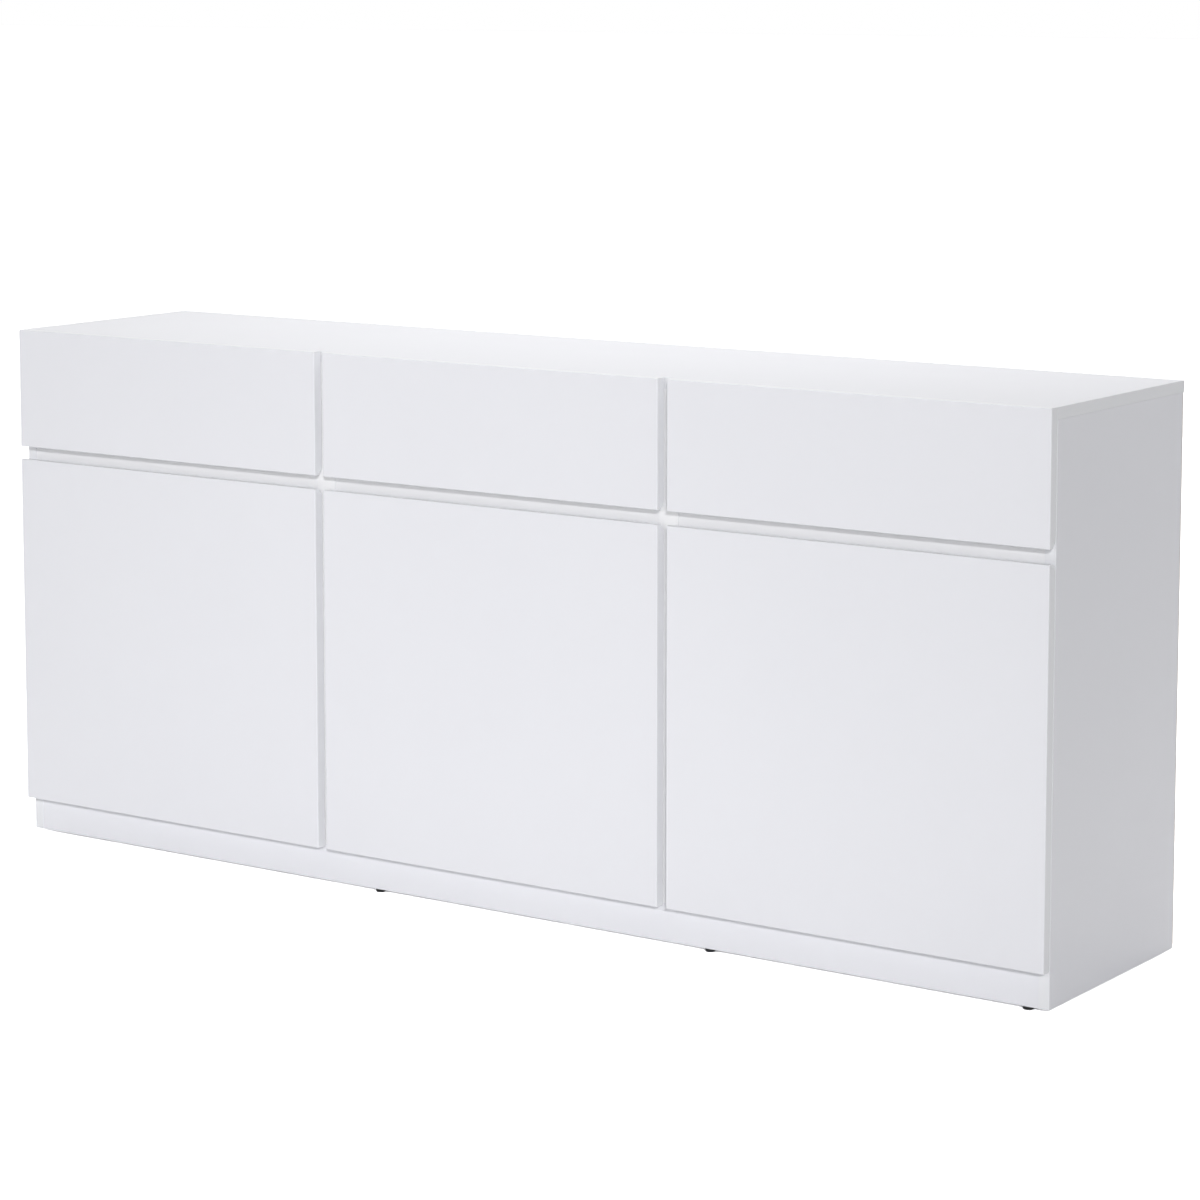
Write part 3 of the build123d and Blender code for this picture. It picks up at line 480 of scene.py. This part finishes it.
def add_drawer_bumpers(bay):
    """Four bumpers behind the drawer front."""
    low, high = across(f"{bay}_drawer_front")
    bumpers = bmesh.new()
    for x in (low.x + BUMPER_FROM_SIDE, high.x - BUMPER_FROM_SIDE):
        for z in (low.z + DRAWER_BUMPER_UP, high.z - DRAWER_BUMPER_DOWN):
            lathe(bumpers, BUMPER, aim((x, high.y, z), REAR), 24)
    make(f"{bay}_drawer_bumpers", bumpers, f"{bay}_drawer", CLEAR)


# Caps over the fittings that hold the drawer's front to its sides.
DRAWER_CAP_UP, DRAWER_CAP_DOWN = 34.0, 28.0


def add_drawer_caps(bay):
    """Two caps inside each side of the drawer, near its front."""
    drawer_caps = bmesh.new()
    for side, inward in (("left", 1), ("right", -1)):
        low, high = across(f"{bay}_drawer_{side}_side")
        x = high.x if inward > 0 else low.x
        for z in (low.z + DRAWER_CAP_UP, high.z - DRAWER_CAP_DOWN):
            cover_cap(drawer_caps, (x, low.y + CAM_FROM_END, z), (inward, 0, 0))
    make(f"{bay}_drawer_cam_caps", drawer_caps, f"{bay}_drawer", CAP_WHITE)


# Domed screw heads with cross recesses.
SCREW_CROWN = ((0.0, 0.9), (0.5, 0.9), (1.2, 0.88), (1.9, 0.82), (2.1, 0.8))
CROSS_STEPS = 32
CROSS_CENTRE, CROSS_REACH, CROSS_DEPTH = 0.6, 1.95, 0.75


def cross(step, radius):
    """How far the cross recess lowers a point of a screw head."""
    on_arm = radius < CROSS_REACH and step % (CROSS_STEPS // 4) == 0
    return CROSS_DEPTH if radius < CROSS_CENTRE or on_arm else 0.0


def screw_head(mesh, point, direction, radius):
    """Domed screw head with a cross recess."""
    rim = ((radius - 0.6, 0.55), (radius - 0.1, 0.2), (radius, -0.9), (0.0, -0.9))
    lathe(mesh, (*SCREW_CROWN, *rim), aim(point, direction), CROSS_STEPS, cross)


# Slide fixings. Depths are measured from the upright into the cabinet, heights from the slide's middle.
SLIDE_Z = 690.0
SLIDE_SCREW_Y = (-150.0, -62.0, 118.0)
SLIDE_SCREW_DEPTH, SLIDE_SCREW_RADIUS = 10.6, 3.4
LEVER_DEPTHS = (6.4, 9.6)
LeverBar = namedtuple("LeverBar", "front rear bottom top rounding")
LEVER_BARS = (LeverBar(-36.0, 12.0, -6.0, 1.0, 1.4), LeverBar(-40.0, -22.0, -9.0, 4.0, 1.5))
Cage = namedtuple("Cage", "near far reach ball_radius front")
CAGES = (Cage(3.9, 4.4, 15.4, 1.7, -168.0), Cage(1.5, 2.0, 19.9, 1.25, 4.0))
CAGE_LENGTH, CAGE_ROUNDING = 164.0, 0.2
LIP_DEPTH, LIP_HALF, LIP_ROUNDING = 7.4, 0.35, 0.25
BALL_DEPTH, BALL_GAP, BALL_FROM_END = 6.2, 16.0, 10.0
BALL_STEPS = 6


def ball(radius):
    """Profile of a ball, from its upper to its lower pole."""
    rings = [math.pi * i / BALL_STEPS for i in range(1, BALL_STEPS)]
    between = [(radius * math.sin(turn), radius * math.cos(turn)) for turn in rings]
    return [(0.0, radius), *between, (0.0, -radius)]


def add_cage(cages, balls, face, inward, cage):
    """A sheet with two lips between two members of a slide, and a row of balls along each lip."""
    rear = cage.front + CAGE_LENGTH
    near, far = sorted((face + inward * cage.near, face + inward * cage.far))
    low, high = (near, cage.front, SLIDE_Z - cage.reach), (far, rear, SLIDE_Z + cage.reach)
    bar(cages, low, high, CAGE_ROUNDING)
    for z in (SLIDE_Z - cage.reach, SLIDE_Z + cage.reach):
        near, far = sorted((face + inward * cage.near, face + inward * LIP_DEPTH))
        bar(cages, (near, cage.front, z - LIP_HALF), (far, rear, z + LIP_HALF), LIP_ROUNDING)
        for y in spread(cage.front + BALL_FROM_END, rear - BALL_FROM_END, BALL_GAP):
            place = aim((face + inward * BALL_DEPTH, y, z), UPWARD)
            lathe(balls, ball(cage.ball_radius), place, 12)


def add_slide_fixings(bay):
    """Screws and release levers on the inner members, balls in cages between the members."""
    levers, screws, cages, balls = (bmesh.new() for _ in range(4))
    for face, inward in uprights_of(bay):
        for y in SLIDE_SCREW_Y:
            point = (face + inward * SLIDE_SCREW_DEPTH, y, SLIDE_Z)
            screw_head(screws, point, (-inward, 0, 0), SLIDE_SCREW_RADIUS)
        near, far = sorted(face + inward * depth for depth in LEVER_DEPTHS)
        for piece in LEVER_BARS:
            low = (near, piece.front, SLIDE_Z + piece.bottom)
            bar(levers, low, (far, piece.rear, SLIDE_Z + piece.top), piece.rounding)
        for cage in CAGES:
            add_cage(cages, balls, face, inward, cage)
    make(f"{bay}_slide_screws", screws, f"{bay}_drawer", ZINC)
    make(f"{bay}_slide_levers", levers, f"{bay}_drawer", BLACK)
    make(f"{bay}_ball_cages", cages, f"{bay}_slide_middles", CAGE)
    make(f"{bay}_slide_balls", balls, f"{bay}_slide_middles", BALL)


for bay in BAYS:
    add_door_bumpers(bay)
    add_drawer_bumpers(bay)
    add_drawer_caps(bay)
    add_slide_fixings(bay)

# Heads of the hinges' screws, placed from the door's hinged edge.
HINGE_Z = (157.0, 497.0)
CARCASS_FRONT = -177.5
PLATE_SCREW_Y = (CARCASS_FRONT + 29.0, CARCASS_FRONT + 49.0)
PLATE_SCREW_IN, PLATE_SCREW_RADIUS = 36.6, 3.65
CUP_SCREW_IN, CUP_SCREW_RADIUS, CUP_SCREW_STEP, CUP_FLANGE = 22.5, 3.2, 24.0, 1.0

plate_heads = bmesh.new()
for bay in BAYS:
    inward = -HINGE_SIDE[bay]
    low, high = across(f"{bay}_door_panel")
    edge = low.x if inward > 0 else high.x
    cup_x, cup_y = edge + inward * CUP_SCREW_IN, high.y + CUP_FLANGE
    cup_heads = bmesh.new()
    for z in HINGE_Z:
        for y in PLATE_SCREW_Y:
            point = (edge + inward * PLATE_SCREW_IN, y, z)
            screw_head(plate_heads, point, (inward, 0, 0), PLATE_SCREW_RADIUS)
        for step in (-CUP_SCREW_STEP, CUP_SCREW_STEP):
            screw_head(cup_heads, (cup_x, cup_y, z + step), REAR, CUP_SCREW_RADIUS)
    make(f"{bay}_cup_screw_heads", cup_heads, f"{bay}_door", NICKEL)
make("hinge_screw_heads", plate_heads, "carcass", NICKEL)

# ---------------------------------------------------------------- studio

FLOOR_HALF = 60.0
FLOOR_ALBEDO = 0.945
FLOOR_ALBEDO_SEEN = 3.4  # for the camera the paper is overexposed, as in a cleared background
floor_mesh = bpy.data.meshes.new("studio_floor")
floor_mesh.from_pydata(
    [(x, y, 0.0) for x, y in ((-1, -1), (1, -1), (1, 1), (-1, 1))], [], [(0, 1, 2, 3)]
)
floor_mesh.transform(Matrix.Diagonal((FLOOR_HALF, FLOOR_HALF, 1.0, 1.0)))
floor = bpy.data.objects.new("studio_floor", floor_mesh)
bpy.context.scene.collection.objects.link(floor)
floor_paint = bpy.data.materials.new("studio_floor")
floor_paint.use_nodes = True
tree = floor_paint.node_tree
tree.nodes.remove(tree.nodes["Principled BSDF"])
seen = tree.nodes.new("ShaderNodeLightPath").outputs["Is Camera Ray"]
tones = tree.nodes.new("ShaderNodeMixShader")
tree.links.new(seen, tones.inputs[0])
for socket, albedo in ((1, FLOOR_ALBEDO), (2, FLOOR_ALBEDO_SEEN)):
    paper = tree.nodes.new("ShaderNodeBsdfDiffuse")
    paper.inputs["Color"].default_value = (albedo, albedo, albedo, 1.0)
    tree.links.new(paper.outputs[0], tones.inputs[socket])
tree.links.new(tones.outputs[0], tree.nodes["Material Output"].inputs["Surface"])
floor_mesh.materials.append(floor_paint)
floor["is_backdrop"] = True

world = bpy.data.worlds.new("studio")
bpy.context.scene.world = world
world.use_nodes = True
sky = world.node_tree
background = sky.nodes["Background"]
background.inputs["Color"].default_value = (1.0, 1.0, 1.0, 1.0)
to_camera = sky.nodes.new("ShaderNodeLightPath").outputs["Is Camera Ray"]
direction = sky.nodes.new("ShaderNodeTexCoord").outputs["Generated"]


def sky_math(operation, a, b):
    """A math node of the world; a and b are sockets or numbers."""
    made = sky.nodes.new("ShaderNodeMath")
    made.operation = operation
    for socket, value in zip(made.inputs, (a, b)):
        if isinstance(value, bpy.types.NodeSocket):
            sky.links.new(value, socket)
        else:
            socket.default_value = value
    return made.outputs[0]


# Where the studio walls are bright, and how bright. The camera sees them plain white.
WALL_LIGHTS = (((-1, 0, 0), 0.7), ((-0.57, 0.82, 0), 0.44), ((1, 0, 0), 0.08))
light = 0.0
for towards, brightness in WALL_LIGHTS:
    facing = sky.nodes.new("ShaderNodeVectorMath")
    facing.operation = "DOT_PRODUCT"
    sky.links.new(direction, facing.inputs[0])
    facing.inputs[1].default_value = towards
    lobe = sky_math("MULTIPLY", sky_math("MAXIMUM", facing.outputs["Value"], 0.0), brightness)
    light = sky_math("ADD", lobe, light)
sky.links.new(sky_math("MAXIMUM", light, to_camera), background.inputs["Strength"])


def softbox(name, place, target, size, power, mirrored=True):
    """A rectangular area light that looks at a point; gloss shows it only if it is mirrored."""
    lamp = bpy.data.lights.new(name, "AREA")
    lamp.shape = "RECTANGLE"
    lamp.size, lamp.size_y = size
    lamp.energy = power
    holder = bpy.data.objects.new(name, lamp)
    bpy.context.scene.collection.objects.link(holder)
    holder.location = place
    holder.rotation_euler = (Vector(target) - Vector(place)).to_track_quat("-Z", "Y").to_euler()
    holder.visible_glossy = mirrored


def sunlight(name, azimuth, height, spread_angle, strength, mirrored=True):
    """A distant light; the azimuth is measured from straight in front, towards +X.

    The strength is how bright the light makes a white face that is turned to it.
    """
    lamp = bpy.data.lights.new(name, "SUN")
    lamp.angle = math.radians(spread_angle)
    lamp.energy = strength * math.pi
    holder = bpy.data.objects.new(name, lamp)
    bpy.context.scene.collection.objects.link(holder)
    turn, lift = math.radians(azimuth), math.radians(height)
    towards = Vector(
        (math.sin(turn) * math.cos(lift), -math.cos(turn) * math.cos(lift), math.sin(lift))
    )
    holder.rotation_euler = towards.to_track_quat("Z", "Y").to_euler()
    holder.visible_glossy = mirrored


softbox("overhead_softbox", (0.15, 0.0, 3.0), (0.15, 0.0, 0.4), (2.2, 2.0), 13.0)
softbox("front_softbox", (0.0, -2.0, 0.9), (0.0, 0.0, 0.5), (1.2, 0.8), 6.0, mirrored=False)
softbox("overhead_strip", (0.0, 0.45, 2.0), (0.0, 0.3, 0.0), (2.4, 0.7), 12.0)
sunlight("key_light", 38.0, 22.0, 3.5, 0.46, mirrored=False)
sunlight("low_fill", 45.0, 4.0, 25.0, 0.17, mirrored=False)
sunlight("rear_light", -112.0, 6.0, 20.0, 0.15)

CAMERA_PLACE = (3.0230, -4.2986, 1.3560)
CAMERA_TURN, CAMERA_DIP = 34.532, 6.780  # degrees to the left and downwards
FOCAL_LENGTH, SENSOR_WIDTH = 108.449, 36.0
UPRIGHT_SHIFT = -0.1667  # keeps the verticals nearly parallel
lens = bpy.data.cameras.new("camera")
lens.sensor_width = SENSOR_WIDTH
lens.lens = FOCAL_LENGTH
lens.shift_y = UPRIGHT_SHIFT
camera = bpy.data.objects.new("camera", lens)
bpy.context.scene.collection.objects.link(camera)
camera.location = CAMERA_PLACE
camera.rotation_euler = (math.radians(90.0 - CAMERA_DIP), 0.0, math.radians(CAMERA_TURN))
bpy.context.scene.camera = camera
bpy.context.scene.view_settings.view_transform = "Standard"

low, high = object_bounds()
